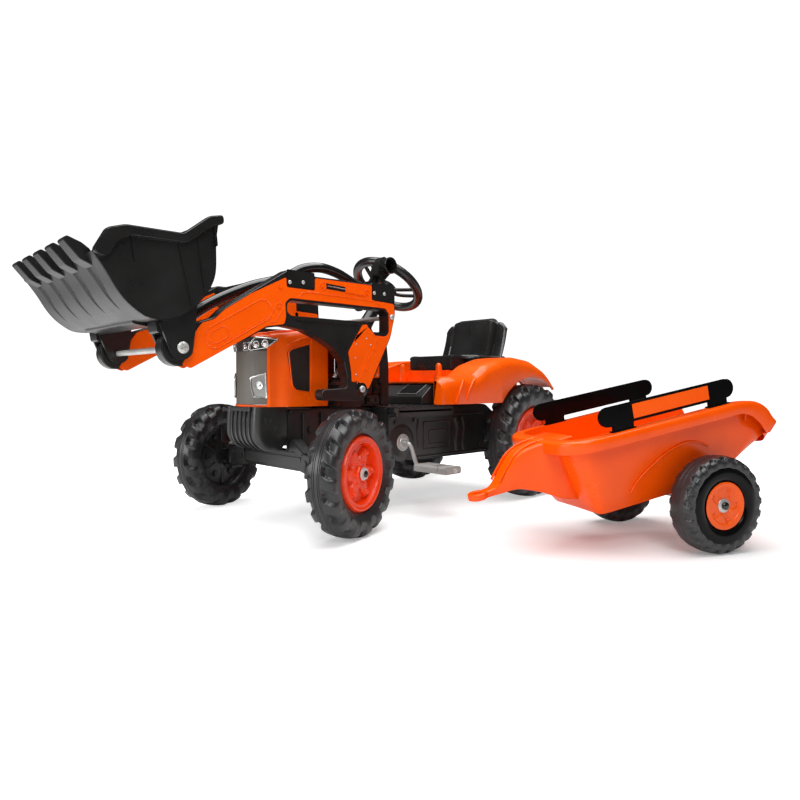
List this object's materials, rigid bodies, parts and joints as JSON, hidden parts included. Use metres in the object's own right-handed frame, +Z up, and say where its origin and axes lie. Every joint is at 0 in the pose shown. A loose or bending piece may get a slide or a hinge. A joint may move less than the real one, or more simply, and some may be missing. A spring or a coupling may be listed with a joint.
{
  "type": "pedal tractor with front loader and trailer",
  "caption": "Ride-on child pedal tractor with steered front wheels, pedal-driven rear axle, front loader bucket worked by a lever, and a separate tipping trailer.",
  "frame": {"origin": "on the floor, under the middle of the box round the tractor and its trailer", "axes": "+Z up, tractor faces -Y, +X is the tractor's left"},
  "size_m": [1.0954, 1.215, 0.589],
  "materials": {
    "orange_plastic": "glossy moulded orange",
    "black_plastic": "satin black",
    "tyre_plastic": "satin dark grey",
    "disc_plastic": "glossy red-orange",
    "grey_plastic": "satin warm grey",
    "lamp_lens": "clear and silvered",
    "zinc_steel": "zinc plated",
    "pedal_plastic": "mid grey"
  },
  "bodies": {
    "chassis": {"chassis": "black_plastic", "axle_beam": "black_plastic", "front_weights": "black_plastic", "hood": "orange_plastic", "grille": "grey_plastic", "headlamp_strip": "lamp_lens", "lower_lamp_left": "lamp_lens", "lower_lamp_right": "lamp_lens", "hood_vent_left": "grey_plastic", "hood_vent_right": "grey_plastic", "column": "black_plastic", "side_panel_left": "orange_plastic", "side_panel_right": "orange_plastic", "crank_bush_left": "zinc_steel", "crank_bush_right": "zinc_steel", "drive_chain": "zinc_steel", "rear_body": "orange_plastic", "hitch_pin": "zinc_steel"},
    "steering": {"steering_wheel": "black_plastic", "steering_shaft": "zinc_steel"},
    "knuckle_left": {"knuckle_left": "black_plastic", "stub_axle_left": "zinc_steel"},
    "knuckle_right": {"knuckle_right": "black_plastic", "stub_axle_right": "zinc_steel"},
    "tie_rod": {"tie_rod": "zinc_steel"},
    "front_wheel_left": {"front_tyre_left": "tyre_plastic", "front_disc_left": "disc_plastic"},
    "front_wheel_right": {"front_tyre_right": "tyre_plastic", "front_disc_right": "disc_plastic"},
    "rear_axle": {"rear_axle": "zinc_steel", "rear_sprocket": "zinc_steel", "rear_tyre_left": "tyre_plastic", "rear_tyre_right": "tyre_plastic", "rear_disc_left": "disc_plastic", "rear_disc_right": "disc_plastic"},
    "crank": {"crankshaft": "zinc_steel", "crank_sprocket": "zinc_steel"},
    "pedal_left": {"pedal_left": "pedal_plastic"},
    "pedal_right": {"pedal_right": "pedal_plastic"},
    "loader": {"arm_left": "orange_plastic", "arm_right": "orange_plastic", "front_cross_beam": "black_plastic", "rear_cross_rod": "zinc_steel", "lift_pin": "zinc_steel", "bucket_pin": "zinc_steel"},
    "bucket": {"bucket": "black_plastic"},
    "tilt_link": {"tilt_link": "black_plastic"},
    "tilt_lever": {"tilt_lever": "black_plastic"},
    "seat": {"seat": "black_plastic"},
    "trailer_axle": {"trailer_axle": "zinc_steel"},
    "trailer": {"trailer_tub": "orange_plastic", "trailer_rail_left": "black_plastic", "trailer_rail_right": "black_plastic"},
    "trailer_wheel_left": {"trailer_tyre_left": "tyre_plastic", "trailer_disc_left": "disc_plastic"},
    "trailer_wheel_right": {"trailer_tyre_right": "tyre_plastic", "trailer_disc_right": "disc_plastic"}
  },
  "joints": [
    {"name": "steer", "type": "hinge", "parent": "chassis", "child": "steering", "pos_m": [-0.25245, 0.1675, 0.53], "axis": [0, 0.5793, 0.8151], "range_deg": [-43, 7]},
    {"name": "kingpin_left", "type": "hinge", "parent": "chassis", "child": "knuckle_left", "pos_m": [-0.05745, -0.1515, 0.12], "axis": [0, 0, 1], "range_deg": [-43, 7]},
    {"name": "kingpin_right", "type": "hinge", "parent": "chassis", "child": "knuckle_right", "pos_m": [-0.44745, -0.1515, 0.12], "axis": [0, 0, 1], "range_deg": [-43, 7]},
    {"name": "tie_rod_pin", "type": "hinge", "parent": "knuckle_left", "child": "tie_rod", "pos_m": [-0.07136, -0.1087, 0.12], "axis": [0, 0, 1], "range_deg": [-7, 43]},
    {"name": "front_spin_left", "type": "hinge", "parent": "knuckle_left", "child": "front_wheel_left", "pos_m": [-0.02083, -0.1396, 0.12], "axis": [0.9511, 0.309, 0], "continuous": true},
    {"name": "front_spin_right", "type": "hinge", "parent": "knuckle_right", "child": "front_wheel_right", "pos_m": [-0.48407, -0.1634, 0.12], "axis": [0.9511, 0.309, 0], "continuous": true},
    {"name": "rear_spin", "type": "hinge", "parent": "chassis", "child": "rear_axle", "pos_m": [-0.25245, 0.4645, 0.143], "axis": [1, 0, 0], "continuous": true},
    {"name": "crank_spin", "type": "hinge", "parent": "chassis", "child": "crank", "pos_m": [-0.25245, 0.0975, 0.155], "axis": [1, 0, 0], "continuous": true},
    {"name": "pedal_spin_left", "type": "hinge", "parent": "crank", "child": "pedal_left", "pos_m": [-0.04445, 0.11343, 0.10288], "axis": [1, 0, 0], "continuous": true},
    {"name": "pedal_spin_right", "type": "hinge", "parent": "crank", "child": "pedal_right", "pos_m": [-0.46045, 0.08157, 0.20712], "axis": [1, 0, 0], "continuous": true},
    {"name": "loader_lift", "type": "hinge", "parent": "chassis", "child": "loader", "pos_m": [-0.25245, -0.0455, 0.276], "axis": [1, 0, 0], "range_deg": [-8, 22]},
    {"name": "bucket_tilt", "type": "hinge", "parent": "loader", "child": "bucket", "pos_m": [-0.25245, -0.4365, 0.345], "axis": [1, 0, 0], "range_deg": [-8, 55]},
    {"name": "lever_tilt", "type": "hinge", "parent": "loader", "child": "tilt_lever", "pos_m": [-0.14575, -0.0165, 0.4537], "axis": [1, 0, 0], "range_deg": [-8, 55]},
    {"name": "link_pin", "type": "hinge", "parent": "bucket", "child": "tilt_link", "pos_m": [-0.16245, -0.4115, 0.3883], "axis": [1, 0, 0], "range_deg": [-55, 8]},
    {"name": "seat_slide", "type": "slide", "parent": "chassis", "child": "seat", "axis": [0, 1, 0], "range_m": [-0.02, 0.02]},
    {"name": "trailer_roll", "type": "slide", "parent": "chassis", "child": "trailer_axle", "axis": [0.4399, 0.898, 0], "range_m": [0, 0.4]},
    {"name": "trailer_tip", "type": "hinge", "parent": "trailer_axle", "child": "trailer", "pos_m": [0.37615, 0.2896, 0.083], "axis": [0.898, -0.4399, 0], "range_deg": [-11, 12]},
    {"name": "trailer_spin_left", "type": "hinge", "parent": "trailer_axle", "child": "trailer_wheel_left", "pos_m": [0.49289, 0.23241, 0.083], "axis": [0.898, -0.4399, 0], "continuous": true},
    {"name": "trailer_spin_right", "type": "hinge", "parent": "trailer_axle", "child": "trailer_wheel_right", "pos_m": [0.25941, 0.34679, 0.083], "axis": [0.898, -0.4399, 0], "continuous": true}
  ],
  "couplings": [
    {"joint": "kingpin_left", "follows": "steer", "ratio": 1},
    {"joint": "kingpin_right", "follows": "steer", "ratio": 1},
    {"joint": "tie_rod_pin", "follows": "steer", "ratio": -1},
    {"joint": "crank_spin", "follows": "rear_spin", "ratio": 0.72222},
    {"joint": "lever_tilt", "follows": "bucket_tilt", "ratio": 1},
    {"joint": "link_pin", "follows": "bucket_tilt", "ratio": -1}
  ]
}
